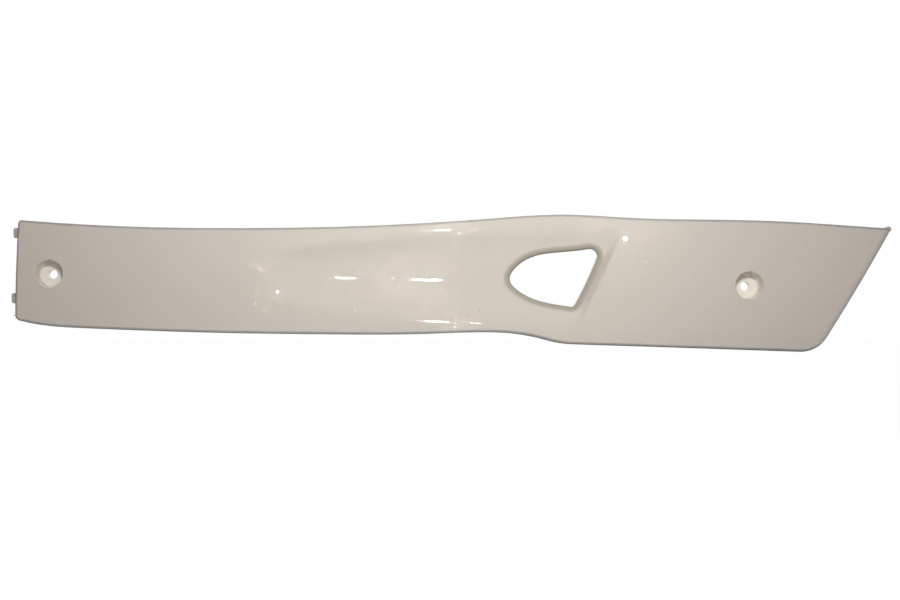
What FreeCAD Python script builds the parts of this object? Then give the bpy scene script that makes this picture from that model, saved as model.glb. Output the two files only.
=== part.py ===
import FreeCAD, Part
import math
import os

# Side panel of a scooter's floorboard: one moulded, painted plastic shell.
# Millimetres. X runs along the panel towards its slanted rear end, Z is up, -Y is outward.
# The origin is the centre of the front screw seat.

# Shell
WALL = 2.5
EDGE_ROUND = 2.6
CORNER_EASE = 0.3
RETURN_STAND = 1.5

# Screw recesses
RECESS_DIAMETER = 21.4
RECESS_TAPER = 1.0
RECESS_DEPTH = 12.0
RECESS_CHAMFER = 0.6
RECESS_FLOOR_EASE = 1.0
SCREW_HOLE = 7.0
SEAT_THICKNESS = 3.0
REAR_SCREW_FROM_END = 91.2
REAR_SCREW_Z = -10.3
GUSSET_COUNT = 4
GUSSET_THICKNESS = 1.8
GUSSET_RUN = 7.0

# Opening at the end of the scoop: an egg-shaped front closed by a slanted, slightly bowed rear side.
# The points are measured from the foremost point of the opening (X, Z).
OPENING_TIP_X = 360.4
OPENING_TIP_Z = -4.5
OPENING_TOP_CORNER = (70.1, 26.5)
OPENING_UPPER_SIDE = [(31.1, 20.3), (7.6, 12.1)]
OPENING_LOWER_SIDE = [(8.6, -10.3), (29.6, -18.7)]
OPENING_BOTTOM_CORNER = (48.6, -22.0)
OPENING_TOP_ROUND = 6.0
OPENING_BOTTOM_ROUND = 4.0
OPENING_REAR_BOW = 1.3
OPENING_LIP = 2.8
COLLAR_STAND = 3.7

# Ends of the panel: the rear length is measured from the opening's slanted side, leans in degrees
FRONT_LENGTH = 26.3
FRONT_LEAN = 1.7
FRONT_BOTTOM_ROUND = 4.5
REAR_LENGTH = 211.5
REAR_LEAN = 31.1
REAR_BOTTOM_ROUND = 24.0

# Curves of the face: crown across it, bow along it, the outward swing of its rear half, and the roll
# back towards the rear end
CROWN_RADIUS = 480.0
CROWN_LINE_FALL = 1.0
BOW_RADIUS = 14000.0
BOW_MIDDLE_X = 300.0
SWING = 16.0
SWING_START_X = 312.0
SWING_LENGTH = 188.0
ROLL_LENGTH = 8.0
ROLL_DROP = 2.2

# Air scoop: a trough that deepens from a rounded nose and ends at a slanted wall behind the opening.
# The skew makes its upper side steeper, the crest is how softly its sides meet the face.
SCOOP_NOSE_X = 146.0
SCOOP_LENGTH = 280.0
SCOOP_NOSE_HALF_WIDTH = 13.0
SCOOP_END_HALF_WIDTH = 36.5
SCOOP_FLARE = 2.5
SCOOP_MIDDLE_Z = -2.0
SCOOP_MIDDLE_DROP = 2.5
SCOOP_DEPTH = 7.0
SCOOP_RAMP = 170.0
SCOOP_NOSE_BLEND = 62.0
SCOOP_SKEW = 0.15
SCOOP_CREST = 0.30
SCOOP_LEDGE = 3.5
SCOOP_END_WALL = 8.5

# Locating tabs on the front end, a small point below them, and a lug at the rear tip
TAB_HEIGHTS = [32.3, -19.0]
TAB_WIDTH = 8.0
TAB_REACH = 4.6
TAB_THICKNESS = 2.5
TAB_SETBACK = 7.0
TAB_ROUND = 1.6
NIB_Z = -32.6
NIB_WIDTH = 2.6
NIB_REACH = 3.2
LUG_DIAMETER = 4.2
LUG_STAND = 1.4
LUG_FROM_TIP = 2.0
LUG_SETBACK = 2.5
LUG_LENGTH = 7.0

# Number of sections through the face: up to the scoop's end wall, on it, past it and on the rear roll,
# and points on each
SECTIONS_BEFORE = 22
SECTIONS_ON_WALL = 7
SECTIONS_PAST = 11
SECTIONS_ON_ROLL = 5
SECTION_POINTS = 21

# Surfaces nearer than this count as meeting when solids are cut or joined
MEETING = 0.0001

# Sizes that follow from those above
RETURN_DEPTH = RECESS_DEPTH + SEAT_THICKNESS + RETURN_STAND
OVERRUN = RETURN_DEPTH
FRONT_SLANT = math.tan(math.radians(FRONT_LEAN))
REAR_SLANT = math.tan(math.radians(REAR_LEAN))
OPENING_SLANT = (
    (OPENING_TOP_CORNER[0] - OPENING_BOTTOM_CORNER[0])
    / (OPENING_TOP_CORNER[1] - OPENING_BOTTOM_CORNER[1])
)
OPENING_TOP_Z = OPENING_TIP_Z + OPENING_TOP_CORNER[1]
OPENING_END_X = OPENING_TIP_X + OPENING_TOP_CORNER[0] - OPENING_SLANT * OPENING_TOP_Z
FRONT_X = -FRONT_LENGTH
REAR_X = OPENING_END_X + REAR_LENGTH
END_WALL_X = OPENING_END_X + SCOOP_LEDGE
END_CREST_X = END_WALL_X + SCOOP_END_WALL
ROLL_X = REAR_X - ROLL_LENGTH
REAR_SCREW_X = REAR_X - REAR_SCREW_FROM_END

# The two long edges of the outline pass through these points (X, Z) and run past both ends
TOP_EDGE = [
    (FRONT_X - OVERRUN, 44.0), (8.0, 39.8), (75.0, 36.5), (155.0, 35.6), (270.0, 38.2), (345.0, 42.9),
    (405.0, 45.2), (428.0, 43.7), (452.0, 41.9), (REAR_X - 120, 40.5), (REAR_X - 56, 38.8),
    (REAR_X - 18, 36.4), (REAR_X + 40, 32.9),
]
BOTTOM_EDGE = [
    (FRONT_X - OVERRUN, -30.2), (-11.0, -39.5), (27.0, -42.7), (121.0, -46.1), (215.0, -47.5),
    (300.0, -47.0), (346.0, -45.9), (366.0, -47.2), (383.0, -50.4), (400.0, -54.5), (412.0, -55.4),
    (440.0, -56.3), (REAR_X - 95, -59.5), (REAR_X + 30, -63.7),
]
HIGHEST = max(z for x, z in TOP_EDGE) + OVERRUN
LOWEST = min(z for x, z in BOTTOM_EDGE) - OVERRUN

# Depth of the drawings and cutting solids, which reach well past the panel in front and behind
REACH = 2 * (SWING + RECESS_DEPTH + RETURN_DEPTH)

UP = FreeCAD.Vector(0, 0, 1)
OUTWARD = FreeCAD.Vector(0, -1, 0)
INWARD = FreeCAD.Vector(0, 1, 0)


def smooth(t):
    """Rise from 0 to 1 with no kink in slope or curvature at either end."""
    t = min(max(t, 0.0), 1.0)
    return t ** 3 * (6 * t * t - 15 * t + 10)


def level(x):
    """Y of the crown line: the panel as seen from above."""
    bow = ((x - BOW_MIDDLE_X) ** 2 - BOW_MIDDLE_X ** 2) / (2 * BOW_RADIUS)
    return bow - RECESS_DEPTH - SWING * smooth((x - SWING_START_X) / SWING_LENGTH)


def soft(height):
    """Height above zero, eased round the kink at zero."""
    eased = min(max(height + SCOOP_CREST, 0.0), 2 * SCOOP_CREST)
    return eased ** 2 / (4 * SCOOP_CREST) + max(height - SCOOP_CREST, 0.0)


def scoop(x, z):
    """Depth of the scoop below the crowned face."""
    along = min(max((x - SCOOP_NOSE_X) / SCOOP_LENGTH, 0.0), 1.0)
    flare = 1 - (1 - along) ** SCOOP_FLARE
    half_width = SCOOP_NOSE_HALF_WIDTH + (SCOOP_END_HALF_WIDTH - SCOOP_NOSE_HALF_WIDTH) * flare
    across = (z - SCOOP_MIDDLE_Z + SCOOP_MIDDLE_DROP * along) / half_width
    trough = soft((1 - across ** 2) * (1 + SCOOP_SKEW * min(max(across, -1.0), 1.0)))
    end = smooth((END_CREST_X + OPENING_SLANT * z - x) / SCOOP_END_WALL)
    ramp = min(max((x - SCOOP_NOSE_X) / SCOOP_RAMP, 0.0), 1.0)
    fall = (1 - (1 - ramp) ** 3) * smooth((x - SCOOP_NOSE_X) / SCOOP_NOSE_BLEND)
    return SCOOP_DEPTH * fall * trough * end


def roll(x, z):
    """How far the face rolls back towards the rear end; past the end it runs straight on."""
    past = max(x - ROLL_X - REAR_SLANT * z, 0.0) / ROLL_LENGTH
    beyond = max(past - 1, 0.0)
    return ROLL_DROP * ((past - beyond) ** 3 + 3 * beyond)


def face_point(x, z):
    """Point of the outer face."""
    crown_line = -math.tan(math.radians(CROWN_LINE_FALL)) * x
    crown = (z - crown_line) ** 2 / (2 * CROWN_RADIUS)
    return FreeCAD.Vector(x, level(x) + crown + scoop(x, z) + roll(x, z), z)


def spaced(start, end, count):
    """Even steps from start up to, but not including, end."""
    return [start + (end - start) * i / count for i in range(count)]


def slant(station):
    """Lean of a section: upright at the front end, along the scoop's end wall, then along the rear end."""
    before = min((station - FRONT_X) / (END_WALL_X - FRONT_X), 1.0)
    past = min(max((station - END_CREST_X) / (ROLL_X - END_CREST_X), 0.0), 1.0)
    return FRONT_SLANT + (OPENING_SLANT - FRONT_SLANT) * before + (REAR_SLANT - OPENING_SLANT) * past


def outer_skin():
    """Surface of the outer face, through sections that fan out from upright to the rear end's lean."""
    stations = spaced(FRONT_X - OVERRUN, END_WALL_X, SECTIONS_BEFORE)
    stations += spaced(END_WALL_X, END_CREST_X, SECTIONS_ON_WALL)
    stations += spaced(END_CREST_X, ROLL_X, SECTIONS_PAST)
    stations += spaced(ROLL_X, REAR_X + OVERRUN, SECTIONS_ON_ROLL) + [REAR_X + OVERRUN]
    heights = spaced(LOWEST, HIGHEST, SECTION_POINTS) + [HIGHEST]
    skin = Part.BSplineSurface()
    skin.interpolate([[face_point(s + slant(s) * z, z) for z in heights] for s in stations])
    return skin


def inner_skin():
    """Surface of the inner side: the outer face moved back square to itself by the wall."""
    outer = outer_skin()
    sections = []
    for u in outer.getUKnots():
        section = []
        for v in outer.getVKnots():
            square = outer.normal(u, v)
            square *= math.copysign(WALL, square.dot(INWARD))
            section.append(outer.value(u, v) + square)
        sections.append(section)
    skin = Part.BSplineSurface()
    skin.interpolate(sections)
    return skin


def behind(skin):
    """Solid of everything behind a surface."""
    return skin.toShape().extrude(INWARD * 2 * REACH)


def front_of(depth):
    """Solid of everything in front of a depth behind the crown line."""
    first_x = FRONT_X - 2 * OVERRUN
    last_x = REAR_X + REAR_SLANT * HIGHEST + OVERRUN
    stations = spaced(first_x, last_x, SECTIONS_BEFORE) + [last_x]
    back = [FreeCAD.Vector(x, level(x) + depth, LOWEST) for x in stations]
    corners = [back[0], FreeCAD.Vector(first_x, -REACH, LOWEST), FreeCAD.Vector(last_x, -REACH, LOWEST)]
    sides = Part.makePolygon(corners + [back[-1]]).Edges
    wire = Part.Wire(Part.__sortEdges__([curve(back)] + sides))
    return Part.Face(wire).extrude(UP * (HIGHEST - LOWEST))


def flat(x, z):
    """Point of a drawing in the plane of the panel, in front of the whole panel."""
    return FreeCAD.Vector(x, -REACH, z)


def curve(points):
    """Smooth edge through points."""
    spline = Part.BSplineCurve()
    spline.interpolate(points)
    return spline.toShape()


def prism(edges):
    """Solid of a closed drawing, from in front of the panel to well behind it."""
    wire = Part.Wire(Part.__sortEdges__(edges))
    return Part.Face(wire).extrude(INWARD * 2 * REACH)


def round_corner(solid, place, radius):
    """Prism with the corner nearest to a place (X, Z) rounded."""
    def distance(edge):
        return math.hypot(edge.CenterOfMass.x - place[0], edge.CenterOfMass.z - place[1])

    upright = [e for e in solid.Edges if e.BoundBox.YLength > REACH]
    return solid.makeFillet(radius, [min(upright, key=distance)])


def outline_prism(inset):
    """Prism of the panel's outline, drawn in by an inset."""
    top = [flat(x, z - inset) for x, z in TOP_EDGE]
    bottom = [flat(x, z + inset) for x, z in BOTTOM_EDGE]
    front = Part.makeLine(bottom[0], top[0])
    rear = Part.makeLine(bottom[-1], top[-1])
    band = prism([curve(top), rear, curve(bottom), front])
    front_x = FRONT_X + inset / math.cos(math.radians(FRONT_LEAN))
    rear_x = REAR_X - inset / math.cos(math.radians(REAR_LEAN))
    ends = [
        (front_x + FRONT_SLANT * LOWEST, LOWEST), (rear_x + REAR_SLANT * LOWEST, LOWEST),
        (rear_x + REAR_SLANT * HIGHEST, HIGHEST), (front_x + FRONT_SLANT * HIGHEST, HIGHEST),
    ]
    corners = [flat(x, z) for x, z in ends + ends[:1]]
    solid = band.common(prism(Part.makePolygon(corners).Edges))
    solid = round_corner(solid, ends[1], REAR_BOTTOM_ROUND - inset)
    if inset == 0:
        solid = round_corner(solid, ends[0], FRONT_BOTTOM_ROUND)
        solid = round_corner(solid, ends[2], EDGE_ROUND + CORNER_EASE)
        solid = round_corner(solid, ends[3], EDGE_ROUND + CORNER_EASE)
    return solid


def moved_corner(corner, side, other_side, outset):
    """Corner of a drawing moved out, so that both of its sides move out by the outset."""
    sine = side.cross(other_side).Length
    return corner - (side + other_side) * (outset / sine)


def opening_prism(outset):
    """Prism of the opening, drawn out by an outset."""
    shape = [OPENING_TOP_CORNER] + OPENING_UPPER_SIDE + [(0, 0)]
    shape += OPENING_LOWER_SIDE + [OPENING_BOTTOM_CORNER]
    points = [flat(OPENING_TIP_X + x, OPENING_TIP_Z + z) for x, z in shape]
    edge = curve(points)
    tangents = [edge.tangentAt(edge.Curve.parameter(point)) for point in points]
    moved = [point + tangent.cross(INWARD) * outset for point, tangent in zip(points, tangents)]
    rear_side = (points[-1] - points[0]).normalize()
    moved[0] = moved_corner(points[0], tangents[0], rear_side, outset)
    moved[-1] = moved_corner(points[-1], -tangents[-1], -rear_side, outset)
    bowed = (moved[0] + moved[-1]) / 2 + rear_side.cross(INWARD) * OPENING_REAR_BOW
    solid = prism([curve(moved), Part.Arc(moved[-1], bowed, moved[0]).toShape()])
    solid = round_corner(solid, (moved[0].x, moved[0].z), OPENING_TOP_ROUND + outset)
    return round_corner(solid, (moved[-1].x, moved[-1].z), OPENING_BOTTOM_ROUND + outset)


def outer_face(solid):
    """Face of a solid that is the panel's outer face."""
    place = Part.Vertex(face_point(0, 0))
    return min(solid.Faces, key=lambda face: face.distToShape(place)[0])


def outer_form():
    """Full form of the panel, not yet hollowed, with its rounded edges and the opening's lip."""
    form = outline_prism(0).common(behind(outer_skin())).common(front_of(RETURN_DEPTH))
    form = form.makeFillet(EDGE_ROUND, outer_face(form).OuterWire.Edges)
    form = form.cut(opening_prism(0))
    face = outer_face(form)
    lip = [wire for wire in face.Wires if not wire.isSame(face.OuterWire)]
    return form.makeFillet(OPENING_LIP, lip[0].Edges)


def inner_form():
    """Space behind the shell: the form drawn in by the wall, less the opening's collar and the cups."""
    collar = opening_prism(WALL).common(front_of(SCOOP_DEPTH + WALL + COLLAR_STAND))
    space = outline_prism(WALL).common(behind(inner_skin())).cut(collar)
    for seat in screw_seats():
        space = space.cut(cup().translated(seat))
    return space


def screw_seats():
    """Centre of each screw seat."""
    rear_face = face_point(REAR_SCREW_X, REAR_SCREW_Z)
    return [FreeCAD.Vector(0, 0, 0), rear_face + INWARD * RECESS_DEPTH]


def cup():
    """Wall and floor around a screw recess, with its gussets, seated at the origin."""
    mouth = RECESS_DIAMETER / 2 + WALL
    floor = mouth - RECESS_TAPER
    body = Part.makeCone(mouth, floor, RECESS_DEPTH + SEAT_THICKNESS, OUTWARD * RECESS_DEPTH, INWARD)
    profile = [
        (0, -RECESS_DEPTH), (mouth + GUSSET_RUN, -RECESS_DEPTH),
        (mouth + GUSSET_RUN, WALL - RECESS_DEPTH), (floor, 0), (0, 0),
    ]
    corners = [FreeCAD.Vector(r, y, -GUSSET_THICKNESS / 2) for r, y in profile + profile[:1]]
    gusset = Part.Face(Part.makePolygon(corners)).extrude(UP * GUSSET_THICKNESS)
    for i in range(GUSSET_COUNT):
        turned = gusset.copy()
        turned.rotate(FreeCAD.Vector(0, 0, 0), INWARD, 360 * i / GUSSET_COUNT)
        body = body.fuse(turned)
    return body


def recess():
    """Space of a screw recess and its hole, seated at the origin: a tapered cup with an eased mouth."""
    mouth = RECESS_DIAMETER / 2
    front = RECESS_DEPTH - RECESS_CHAMFER
    cone = Part.makeCone(mouth - RECESS_TAPER, mouth, front, FreeCAD.Vector(0, 0, 0), OUTWARD)
    floor = [e for e in cone.Edges if e.Closed and e.CenterOfMass.y > -RECESS_CHAMFER]
    cone = cone.makeChamfer(RECESS_FLOOR_EASE, floor)
    ease = 2 * RECESS_CHAMFER + WALL
    flare = Part.makeCone(mouth, mouth + ease, ease, OUTWARD * front, OUTWARD)
    hole = Part.makeCylinder(SCREW_HOLE / 2, 2 * SEAT_THICKNESS, OUTWARD * RECESS_CHAMFER, INWARD)
    return cone.fuse([flare, hole])


def tab(z):
    """Flat locating tab that reaches forward out of the front end."""
    start = FRONT_X + FRONT_SLANT * z
    corner = FreeCAD.Vector(start - TAB_REACH, level(start) + TAB_SETBACK, z - TAB_WIDTH / 2)
    plate = Part.makeBox(TAB_REACH + WALL / 2, TAB_THICKNESS, TAB_WIDTH, corner)
    tip = [e for e in plate.Edges if e.BoundBox.XMax < start - TAB_REACH / 2]
    return plate.makeFillet(TAB_ROUND, [e for e in tip if e.BoundBox.ZLength < TAB_WIDTH / 2])


def nib():
    """Small point low on the front end."""
    start = FRONT_X + FRONT_SLANT * NIB_Z
    y = level(start) + TAB_SETBACK
    corners = [
        (start + WALL, NIB_Z - NIB_WIDTH / 2), (start + WALL, NIB_Z + NIB_WIDTH / 2),
        (start - NIB_REACH, NIB_Z),
    ]
    points = [FreeCAD.Vector(x, y, z) for x, z in corners + corners[:1]]
    return Part.Face(Part.makePolygon(points)).extrude(INWARD * TAB_THICKNESS)


def lug():
    """Small round lug behind the rear tip, standing a little above the top edge."""
    (near_x, near_z), (far_x, far_z) = TOP_EDGE[-2:]
    edge_fall = (near_z - far_z) / (far_x - near_x)
    tip_z = (near_z + edge_fall * (near_x - REAR_X)) / (1 + edge_fall * REAR_SLANT)
    x = REAR_X + REAR_SLANT * tip_z - LUG_FROM_TIP
    z = tip_z + edge_fall * LUG_FROM_TIP + LUG_STAND - LUG_DIAMETER / 2
    centre = FreeCAD.Vector(x, face_point(x, tip_z).y + LUG_SETBACK, z)
    return Part.makeCylinder(LUG_DIAMETER / 2, LUG_LENGTH, centre, INWARD)


def panel():
    """The whole panel."""
    shell = outer_form().cut([inner_form()], MEETING)
    shell = shell.fuse([tab(z) for z in TAB_HEIGHTS] + [nib(), lug()], MEETING)
    shell = shell.cut([recess().translated(seat) for seat in screw_seats()], MEETING)
    return shell.removeSplitter().Solids[0]


os.makedirs("parts", exist_ok=True)
panel().exportStep("parts/floorboard_panel.step")
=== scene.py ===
import math

import bmesh
import bpy
import numpy as np
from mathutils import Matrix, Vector
from mathutils.bvhtree import BVHTree
from mathutils.kdtree import KDTree


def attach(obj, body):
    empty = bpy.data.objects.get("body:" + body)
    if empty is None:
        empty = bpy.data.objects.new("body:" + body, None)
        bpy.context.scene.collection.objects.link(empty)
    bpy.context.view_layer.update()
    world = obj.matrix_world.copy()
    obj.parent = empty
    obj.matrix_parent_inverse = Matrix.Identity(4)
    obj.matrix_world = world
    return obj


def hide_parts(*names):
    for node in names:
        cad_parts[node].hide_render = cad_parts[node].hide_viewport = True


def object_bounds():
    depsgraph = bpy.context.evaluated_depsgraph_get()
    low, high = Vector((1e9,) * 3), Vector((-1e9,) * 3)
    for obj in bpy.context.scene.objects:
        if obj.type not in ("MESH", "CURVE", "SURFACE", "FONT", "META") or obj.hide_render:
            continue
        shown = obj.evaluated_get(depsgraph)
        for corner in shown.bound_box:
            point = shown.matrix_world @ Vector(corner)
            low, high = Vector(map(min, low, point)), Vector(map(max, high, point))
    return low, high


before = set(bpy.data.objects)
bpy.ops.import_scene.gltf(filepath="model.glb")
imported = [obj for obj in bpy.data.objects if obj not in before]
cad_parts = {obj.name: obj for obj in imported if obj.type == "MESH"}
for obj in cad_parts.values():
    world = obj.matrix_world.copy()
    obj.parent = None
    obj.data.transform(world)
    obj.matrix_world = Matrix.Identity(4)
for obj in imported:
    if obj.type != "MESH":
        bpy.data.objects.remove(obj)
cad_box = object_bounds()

# The panel's glossy face, its satin back, the studio and the camera. Blender works in metres;
# the sizes of the face below are in millimetres, as the panel is drawn.
MM = 0.001
NODE = "floorboard_panel"

# Curves of the face
RECESS_DEPTH = 12.0
CROWN_RADIUS = 480.0
CROWN_LINE_FALL = 1.0
BOW_RADIUS = 14000.0
BOW_MIDDLE_X = 300.0
SWING = 16.0
SWING_START_X = 312.0
SWING_LENGTH = 188.0
SCOOP_NOSE_X = 146.0
SCOOP_LENGTH = 280.0
SCOOP_NOSE_HALF_WIDTH = 13.0
SCOOP_END_HALF_WIDTH = 36.5
SCOOP_FLARE = 2.5
SCOOP_MIDDLE_Z = -2.0
SCOOP_MIDDLE_DROP = 2.5
SCOOP_DEPTH = 7.0
SCOOP_RAMP = 170.0
SCOOP_NOSE_BLEND = 62.0
SCOOP_SKEW = 0.15
SCOOP_CREST = 0.30
SCOOP_LEDGE = 3.5
SCOOP_END_WALL = 8.5
OPENING_SLANT = 21.5 / 48.5
OPENING_END_X = 360.4 + 70.1 - OPENING_SLANT * 22.0
REAR_X = OPENING_END_X + 211.5
REAR_SLANT = math.tan(math.radians(31.1))
ROLL_LENGTH = 8.0
ROLL_DROP = 2.2

# A point well inside the smooth face, and how finely the face is meshed
FACE_SEED = (100.0, -25.0)
FACE_EDGE = 2.6
REFINE_PASSES = 6
WELD = 2e-6
SHARP_ANGLE = math.radians(35)
TANGENT_ANGLE = math.radians(25)

# Screw recesses, seen from outside, are painted; behind this depth of the face a surface is the back
RECESS_CENTRES = [(0.0, 0.0), (541.05, -10.3)]
RECESS_RADIUS = 11.6
SKIN_DEPTH = 1.9
PROBE_LIFT = 0.05
PROBE_RANGE = 130.0

# Painted shade and light in the paint's colour: darker in the lip of the opening and along the edges
# (painted shade), lighter on the screw seats (painted light)
OPENING_CENTRE = (398.0, -3.5)
OPENING_REACH = 60.0
OPENING_HALF_HEIGHT = 30.0
OPENING_EDGE = 1.3
LIP_WIDTH = 3.4
RECESS_RIM = 16.0
SEAT_DEPTH = 10.5


def smooth(t):
    """Rise from 0 to 1 with no kink in slope or curvature at either end."""
    t = np.clip(t, 0.0, 1.0)
    return t ** 3 * (6 * t * t - 15 * t + 10)


def soft(height):
    """Height above zero, eased round the kink at zero."""
    eased = np.clip(height + SCOOP_CREST, 0.0, 2 * SCOOP_CREST)
    return eased ** 2 / (4 * SCOOP_CREST) + np.maximum(height - SCOOP_CREST, 0.0)


def face_y(x, z):
    """Y of the outer face, in millimetres."""
    bow = ((x - BOW_MIDDLE_X) ** 2 - BOW_MIDDLE_X ** 2) / (2 * BOW_RADIUS)
    level = bow - RECESS_DEPTH - SWING * smooth((x - SWING_START_X) / SWING_LENGTH)
    crown = (z + math.tan(math.radians(CROWN_LINE_FALL)) * x) ** 2 / (2 * CROWN_RADIUS)
    along = np.clip((x - SCOOP_NOSE_X) / SCOOP_LENGTH, 0.0, 1.0)
    flare = 1 - (1 - along) ** SCOOP_FLARE
    half_width = SCOOP_NOSE_HALF_WIDTH + (SCOOP_END_HALF_WIDTH - SCOOP_NOSE_HALF_WIDTH) * flare
    across = (z - SCOOP_MIDDLE_Z + SCOOP_MIDDLE_DROP * along) / half_width
    trough = soft((1 - across ** 2) * (1 + SCOOP_SKEW * np.clip(across, -1.0, 1.0)))
    end_crest = OPENING_END_X + SCOOP_LEDGE + SCOOP_END_WALL + OPENING_SLANT * z
    end = smooth((end_crest - x) / SCOOP_END_WALL)
    ramp = np.clip((x - SCOOP_NOSE_X) / SCOOP_RAMP, 0.0, 1.0)
    fall = (1 - (1 - ramp) ** 3) * smooth((x - SCOOP_NOSE_X) / SCOOP_NOSE_BLEND)
    roll = np.maximum(x - REAR_X + ROLL_LENGTH - REAR_SLANT * z, 0.0) / ROLL_LENGTH
    return level + crown + SCOOP_DEPTH * fall * trough * end + ROLL_DROP * roll ** 3


def face_normals(x, z):
    """Outward normals of the outer face."""
    step = 0.05
    slope_x = (face_y(x + step, z) - face_y(x - step, z)) / (2 * step)
    slope_z = (face_y(x, z + step) - face_y(x, z - step)) / (2 * step)
    normals = np.stack([slope_x, -np.ones_like(slope_x), slope_z], axis=-1)
    return normals / np.linalg.norm(normals, axis=-1, keepdims=True)


def face_island(bm):
    """The faces of the mesh that make up the smooth outer face."""
    x, z = FACE_SEED
    seed_place = Vector((x, float(face_y(np.array(x), np.array(z))), z)) * MM
    seed = min(bm.faces, key=lambda f: (f.calc_center_median() - seed_place).length)
    island, front = {seed}, [seed]
    while front:
        for edge in front.pop().edges:
            for face in edge.link_faces:
                if face not in island:
                    island.add(face)
                    front.append(face)
    return island


def snap(verts):
    """Puts vertices of the outer face exactly on its curve."""
    co = np.array([v.co for v in verts]) / MM
    for vert, y in zip(verts, face_y(co[:, 0], co[:, 2])):
        vert.co.y = y * MM


def near_opening(x, z):
    """Whether places, in millimetres, lie round the opening and not at the panel's own edges."""
    x, z = x - OPENING_CENTRE[0], z - OPENING_CENTRE[1]
    return (x * x + z * z < OPENING_REACH ** 2) & (abs(z) < OPENING_HALF_HEIGHT)


def longest_edge(edge):
    """Length, in millimetres, above which an edge of the outer face is split."""
    middle = (edge.verts[0].co + edge.verts[1].co) / (2 * MM)
    return OPENING_EDGE if near_opening(middle.x, middle.z) else FACE_EDGE


def refine_face(bm, tag):
    """Splits the long edges of the outer face and lays the new points on its curve."""
    for _ in range(REFINE_PASSES):
        edges = {e for f in bm.faces if f[tag] for e in f.edges
                 if e.calc_length() > longest_edge(e) * MM}
        if not edges:
            break
        bmesh.ops.subdivide_edges(bm, edges=list(edges), cuts=1, use_grid_fill=False)
        bmesh.ops.triangulate(bm, faces=[f for f in bm.faces if len(f.verts) > 3])
        snap(list({v for f in bm.faces if f[tag] for v in f.verts}))


def in_recess(centre):
    """Whether a point, in millimetres, is inside one of the screw recesses."""
    return any(math.hypot(centre.x - x, centre.z - z) < RECESS_RADIUS for x, z in RECESS_CENTRES)


def is_back(face, tree):
    """Whether a face of the mesh belongs to the unpainted back and the inner sides of the edges."""
    centre = face.calc_center_median()
    mm = centre / MM
    depth = mm.y - float(face_y(np.array(mm.x), np.array(mm.z)))
    if depth < SKIN_DEPTH:
        return False
    if face.normal.y > 0.5:
        return True
    if in_recess(mm):
        return False
    hit = tree.ray_cast(centre + face.normal * PROBE_LIFT * MM, face.normal, PROBE_RANGE * MM)
    return hit[0] is not None and not opening_side(mm, face.normal)


def opening_side(mm, normal):
    """Whether a face looks into the opening, so that it is seen from outside."""
    towards = Vector((OPENING_CENTRE[0] - mm.x, 0.0, OPENING_CENTRE[1] - mm.z))
    return towards.length < 55 and towards.normalized().dot(normal) > 0.3


def panel_mesh():
    """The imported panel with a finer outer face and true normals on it."""
    bm = bmesh.new()
    bm.from_mesh(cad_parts[NODE].data)
    tag = bm.faces.layers.int.new("outer_face")
    bm.faces.ensure_lookup_table()
    for face in face_island(bm):
        face[tag] = 1
    bmesh.ops.remove_doubles(bm, verts=bm.verts, dist=WELD)
    refine_face(bm, tag)
    bm.normal_update()
    tree = BVHTree.FromBMesh(bm)
    for face in bm.faces:
        face.smooth = True
        face.material_index = int(is_back(face, tree))
    mesh = bpy.data.meshes.new("panel")
    bm.to_mesh(mesh)
    bm.free()
    mesh.set_sharp_from_angle(angle=SHARP_ANGLE)
    set_normals(mesh)
    mark_painted_shade_and_light(mesh)
    return mesh


def outer_tags(mesh):
    """Which faces of the mesh make up the smooth outer face."""
    tags = np.zeros(len(mesh.polygons), dtype=np.int32)
    mesh.attributes["outer_face"].data.foreach_get("value", tags)
    return tags


def set_normals(mesh):
    """Gives the outer face, and what runs smoothly into it, the normals of its curve. Elsewhere the
    large faces lead, so that narrow roundings leave no shade on the walls beside them."""
    tagged = outer_tags(mesh)
    on_face = np.zeros(len(mesh.vertices), dtype=bool)
    around = [[] for _ in mesh.vertices]
    flat = [polygon.normal.copy() for polygon in mesh.polygons]
    areas = [polygon.area for polygon in mesh.polygons]
    for polygon in mesh.polygons:
        on_face[list(polygon.vertices)] |= bool(tagged[polygon.index])
        for vertex in polygon.vertices:
            around[vertex].append(polygon.index)
    co = np.array([v.co for v in mesh.vertices]) / MM
    curve_normals = face_normals(co[:, 0], co[:, 2])
    corners = [corner.vector.copy() for corner in mesh.corner_normals]
    normals = [Vector() for _ in corners]
    tangent, sharp = math.cos(TANGENT_ANGLE), math.cos(SHARP_ANGLE)
    for polygon in mesh.polygons:
        own = flat[polygon.index]
        for index, vertex in zip(polygon.loop_indices, polygon.vertices):
            curve = Vector(curve_normals[vertex])
            if on_face[vertex] and curve.dot(corners[index]) > tangent:
                normals[index] = curve
            elif not tagged[polygon.index]:
                for other in around[vertex]:
                    if flat[other].dot(own) > sharp:
                        normals[index] += flat[other] * areas[other]
                normals[index].normalize()
    mesh.normals_split_custom_set(normals)


def closeness(points, rim, width):
    """How close points are to a rim: 1 on it, falling to 0 at the given distance."""
    tree = KDTree(len(rim))
    for index, point in enumerate(rim):
        tree.insert(point, index)
    tree.balance()
    return smooth(1 - np.array([tree.find(point)[2] for point in points]) / width)


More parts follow.
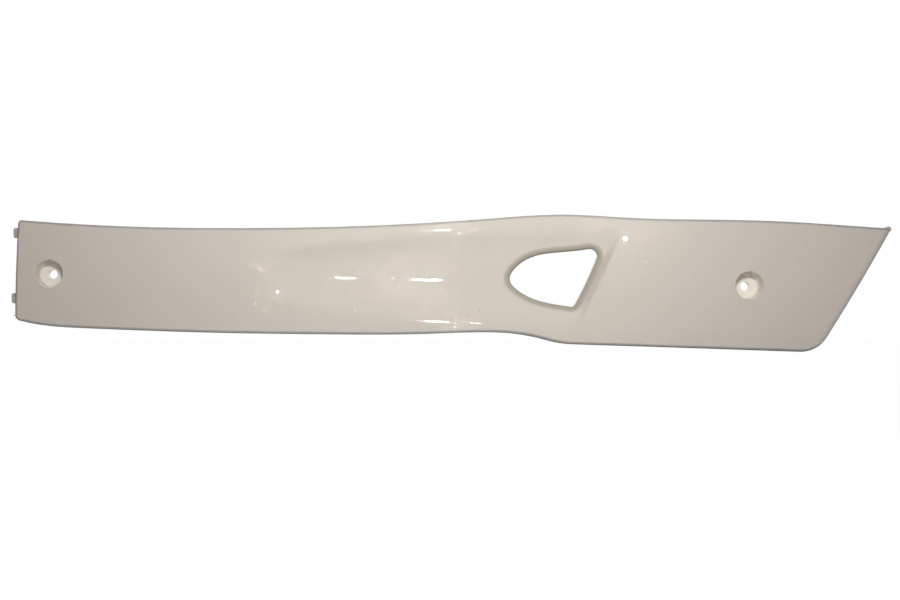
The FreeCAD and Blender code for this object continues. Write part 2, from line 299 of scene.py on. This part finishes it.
def mark_painted_shade_and_light(mesh):
    """Marks where shade and light are painted: how far points lie into the opening's lip and which lie
    on the edges, for painted shade, and which lie on a screw seat, for painted light.
    """
    tagged = outer_tags(mesh)
    on_face, off_face = (np.zeros(len(mesh.vertices), dtype=bool) for _ in range(2))
    for polygon in mesh.polygons:
        (on_face if tagged[polygon.index] else off_face)[list(polygon.vertices)] = True
    co = np.array([v.co for v in mesh.vertices]) / MM
    rim = on_face & off_face
    near = near_opening(co[:, 0], co[:, 2])
    from_seat = np.min([np.hypot(co[:, 0] - x, co[:, 2] - z) for x, z in RECESS_CENTRES], axis=0)
    outer = ~near & (from_seat > RECESS_RIM)
    # painted shade: the lip of the opening is darkened in colour where it turns into the opening and
    # lies in shade
    lip = np.where(near & ~on_face, 1.0, 0.0)
    lip[near & on_face] = closeness(co[near & on_face], co[near & rim], LIP_WIDTH)
    # painted shade: edges, roundings and tabs are darkened in colour where they turn away from the light
    edge = np.where(outer & ~on_face, 1.0, 0.0)
    depth = co[:, 1] - face_y(co[:, 0], co[:, 2])
    # painted light: the floors of the screw seats are lightened in colour, as if lit inside the recess
    seat = np.where((from_seat < RECESS_RADIUS) & (depth > SEAT_DEPTH), 1.0, 0.0)
    for name, values in (("lip", lip), ("edge", edge), ("seat", seat)):
        mesh.attributes.new(name, "FLOAT", "POINT").data.foreach_set("value", values)
    mesh.attributes.remove(mesh.attributes["outer_face"])


def srgb(r, g, b):
    """Colour written as 0 to 255, as the shader takes it."""
    def linear(c):
        c /= 255
        return c / 12.92 if c <= 0.04045 else ((c + 0.055) / 1.055) ** 2.4
    return (linear(r), linear(g), linear(b), 1.0)


def add_node(tree, kind, **values):
    node = tree.nodes.new(kind)
    for name, value in values.items():
        setattr(node, name, value)
    return node


def noise(tree, scale, detail, rough=0.5):
    """Noise in the object's own space, so that it stays with the panel."""
    coordinates = tree.nodes.get("place") or add_node(tree, "ShaderNodeTexCoord", name="place")
    node = add_node(tree, "ShaderNodeTexNoise")
    node.inputs["Scale"].default_value = scale
    node.inputs["Detail"].default_value = detail
    node.inputs["Roughness"].default_value = rough
    tree.links.new(coordinates.outputs["Object"], node.inputs["Vector"])
    return node.outputs["Fac"]


def ramp(tree, source, stops):
    """Colours at places along a factor."""
    node = add_node(tree, "ShaderNodeValToRGB")
    for element, (place, colour) in zip(node.color_ramp.elements, stops):
        element.position = place
        element.color = colour
    for place, colour in stops[2:]:
        node.color_ramp.elements.new(place).color = colour
    tree.links.new(source, node.inputs["Fac"])
    return node.outputs["Color"]


def spread(tree, source, low, high):
    """A factor spread over a range."""
    node = add_node(tree, "ShaderNodeMapRange")
    node.inputs["To Min"].default_value = low
    node.inputs["To Max"].default_value = high
    tree.links.new(source, node.inputs["Value"])
    return node.outputs["Result"]


def bump(tree, source, distance, strength):
    node = add_node(tree, "ShaderNodeBump")
    node.inputs["Distance"].default_value = distance
    node.inputs["Strength"].default_value = strength
    tree.links.new(source, node.inputs["Height"])
    return node


def marked(tree, name, colour, marked_colour):
    """A colour that turns to another where the mesh is marked."""
    mark = add_node(tree, "ShaderNodeAttribute", attribute_name=name)
    node = add_node(tree, "ShaderNodeMix", data_type="RGBA")
    tree.links.new(mark.outputs["Fac"], node.inputs["Factor"])
    tree.links.new(colour, node.inputs[6])
    node.inputs[7].default_value = marked_colour
    return node.outputs[2]


def new_material(name):
    material = bpy.data.materials.new(name)
    material.use_nodes = True
    return material, material.node_tree, material.node_tree.nodes["Principled BSDF"]


def gloss_paint():
    """Ivory paint under clear lacquer, with a faint orange peel and slight drifts of tone; painted shade
    darkens the lip of the opening and the edges, and painted light brightens the screw seats.
    """
    material, tree, shader = new_material("ivory_paint")
    tone = ramp(tree, noise(tree, 7.0, 3.0), [(0.3, srgb(216, 209, 196)), (0.7, srgb(220, 213, 200))])
    # painted shade in the lip of the opening
    tone = marked(tree, "lip", tone, srgb(180, 172, 156))
    # painted shade along the edges
    tone = marked(tree, "edge", tone, srgb(192, 187, 178))
    # painted light on the screw seats
    tone = marked(tree, "seat", tone, srgb(246, 240, 228))
    tree.links.new(tone, shader.inputs["Base Color"])
    tree.links.new(spread(tree, noise(tree, 60.0, 2.0), 0.30, 0.40), shader.inputs["Roughness"])
    peel = bump(tree, noise(tree, 420.0, 2.0), 0.00002, 0.12)
    tree.links.new(peel.outputs["Normal"], shader.inputs["Normal"])
    tree.links.new(peel.outputs["Normal"], shader.inputs["Coat Normal"])
    shader.inputs["IOR"].default_value = 1.45
    shader.inputs["Specular IOR Level"].default_value = 0.3
    shader.inputs["Coat Weight"].default_value = 1.0
    shader.inputs["Coat Roughness"].default_value = 0.03
    shader.inputs["Coat IOR"].default_value = 1.5
    return material


def satin_back():
    """Bare moulded plastic on the back: satin, finely grained, a little darker than the paint."""
    material, tree, shader = new_material("ivory_moulding")
    tone = ramp(tree, noise(tree, 18.0, 5.0), [(0.3, srgb(196, 188, 173)), (0.7, srgb(206, 198, 184))])
    tree.links.new(tone, shader.inputs["Base Color"])
    tree.links.new(spread(tree, noise(tree, 120.0, 3.0), 0.42, 0.56), shader.inputs["Roughness"])
    grain = bump(tree, noise(tree, 1500.0, 3.0, 0.6), 0.00005, 0.35)
    tree.links.new(grain.outputs["Normal"], shader.inputs["Normal"])
    shader.inputs["IOR"].default_value = 1.5
    return material


def build_panel():
    panel = bpy.data.objects.new("panel_skin", panel_mesh())
    bpy.context.scene.collection.objects.link(panel)
    panel.data.materials.append(gloss_paint())
    panel.data.materials.append(satin_back())
    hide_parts(NODE)
    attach(panel, "root")


def maths(tree, operation, first, second):
    """Sum, product and so on of two factors."""
    node = add_node(tree, "ShaderNodeMath", operation=operation)
    tree.links.new(first, node.inputs[0])
    tree.links.new(second, node.inputs[1])
    return node.outputs[0]


def rearward(tree, place, start, end):
    """Factor that rises from 0 to 1 with how far a place or direction lies behind the panel."""
    parts = add_node(tree, "ShaderNodeSeparateXYZ")
    tree.links.new(place, parts.inputs["Vector"])
    node = add_node(tree, "ShaderNodeMapRange", interpolation_type="SMOOTHSTEP")
    node.inputs["From Min"].default_value = start
    node.inputs["From Max"].default_value = end
    tree.links.new(parts.outputs["Y"], node.inputs["Value"])
    return node.outputs["Result"]


def seen_white(tree, backdrop):
    """Factor that is 1 for what the eye meets itself or through glass, and for the backdrop in gloss."""
    path = add_node(tree, "ShaderNodeLightPath")
    direct = maths(tree, "MAXIMUM", path.outputs["Is Camera Ray"], path.outputs["Is Transmission Ray"])
    mirrored = maths(tree, "MULTIPLY", path.outputs["Is Glossy Ray"], backdrop)
    return maths(tree, "MAXIMUM", direct, mirrored)


def build_world():
    """White to the eye, a white backdrop behind the panel in its gloss, and a dim even fill."""
    world = bpy.data.worlds.new("studio")
    bpy.context.scene.world = world
    world.use_nodes = True
    tree = world.node_tree
    direction = add_node(tree, "ShaderNodeTexCoord").outputs["Generated"]
    white = seen_white(tree, rearward(tree, direction, 0.75, 0.95))
    colour = ramp(tree, white, [(0.0, FILL), (1.0, (1.0, 1.0, 1.0, 1.0))])
    tree.links.new(colour, tree.nodes["Background"].inputs["Color"])


def build_floor():
    """Plain white floor that keeps the object's shadow."""
    low, high = cad_box
    mesh = bpy.data.meshes.new("floor")
    bm = bmesh.new()
    bmesh.ops.create_grid(bm, x_segments=2, y_segments=2, size=FLOOR_HALF)
    bm.to_mesh(mesh)
    bm.free()
    floor = bpy.data.objects.new("floor", mesh)
    floor.location = ((low.x + high.x) / 2, (low.y + high.y) / 2, low.z - FLOOR_GAP)
    bpy.context.scene.collection.objects.link(floor)
    material, tree, shader = new_material("floor_white")
    shader.inputs["Base Color"].default_value = (0.35, 0.35, 0.35, 1.0)
    shader.inputs["Roughness"].default_value = 0.9
    shader.inputs["Specular IOR Level"].default_value = 0.0
    glow = add_node(tree, "ShaderNodeEmission")
    mix = add_node(tree, "ShaderNodeMixShader")
    place = add_node(tree, "ShaderNodeNewGeometry").outputs["Position"]
    share = spread(tree, seen_white(tree, rearward(tree, place, 0.2, 0.8)), 0.0, FLOOR_GLOW)
    tree.links.new(share, mix.inputs["Fac"])
    tree.links.new(shader.outputs["BSDF"], mix.inputs[1])
    tree.links.new(glow.outputs["Emission"], mix.inputs[2])
    tree.links.new(mix.outputs["Shader"], tree.nodes["Material Output"].inputs["Surface"])
    mesh.materials.append(material)


def add_lamp(name, place, target, size, power, beam=180, glossy=True):
    """Soft rectangular lamp that faces a point, with its beam narrowed to an angle in degrees."""
    data = bpy.data.lights.new(name, "AREA")
    data.shape = "RECTANGLE"
    data.size, data.size_y = size
    data.energy = power
    data.spread = math.radians(beam)
    lamp = bpy.data.objects.new(name, data)
    lamp.location = place
    lamp.rotation_euler = (Vector(target) - Vector(place)).to_track_quat("-Z", "Y").to_euler()
    lamp.visible_camera = False
    lamp.visible_glossy = glossy
    bpy.context.scene.collection.objects.link(lamp)


# Studio: a dim even fill, two lamps in front for the even light, a broad lamp behind and above for
# the back, and small lamps with narrow beams that each leave one bright streak on the gloss
FILL = (0.095, 0.085, 0.107, 1.0)
FLOOR_HALF = 6.0
FLOOR_GAP = 0.0005
FLOOR_GLOW = 0.985


def build_lamps():
    middle = (0.300, -0.015, 0.0)
    add_lamp("key", (0.318, -0.800, 0.300), (0.318, -0.015, 0.150), (0.14, 0.10), 1.60, 97, glossy=False)
    add_lamp("front", (0.270, -0.800, 0.010), middle, (0.06, 0.06), 0.85, glossy=False)
    add_lamp("back", (0.300, 0.800, 0.550), middle, (2.4, 0.6), 14.0, glossy=False)
    add_lamp("streak_floor", (0.338, -0.822, 0.128), (0.285, -0.006, -0.002), (0.040, 0.020), 0.0006, 4)
    add_lamp("streak_upper", (0.365, -0.822, 0.128), (0.310, -0.012, 0.034), (0.024, 0.016), 0.0002, 2.4)
    add_lamp("streak_lower", (0.366, -0.822, 0.128), (0.306, -0.012, -0.040), (0.034, 0.018), 0.0003, 3)
    add_lamp("streak_short", (0.248, -0.822, 0.118), (0.234, -0.008, -0.005), (0.012, 0.014), 0.00005, 3)
    add_lamp("streak_nose", (0.225, -0.822, 0.185), (0.168, -0.010, -0.008), (0.024, 0.050), 0.0003, 2.2)
    add_lamp("star", (0.484, -0.822, 0.214), (0.449, -0.027, 0.030), (0.016, 0.016), 0.0005, 7)


def build_camera():
    data = bpy.data.cameras.new("camera")
    data.sensor_width = 36.0
    data.lens = 1038.0 / 900.0 * 36.0
    data.shift_x = 71.0 / 900.0
    data.shift_y = 40.0 / 900.0
    camera = bpy.data.objects.new("camera", data)
    camera.location = (0.2578, -0.8216, -0.0519)
    camera.rotation_euler = (math.radians(90), 0.0, 0.0)
    bpy.context.scene.collection.objects.link(camera)
    bpy.context.scene.camera = camera


build_panel()
build_world()
build_floor()
build_lamps()
build_camera()
bpy.context.scene.view_settings.view_transform = "Standard"
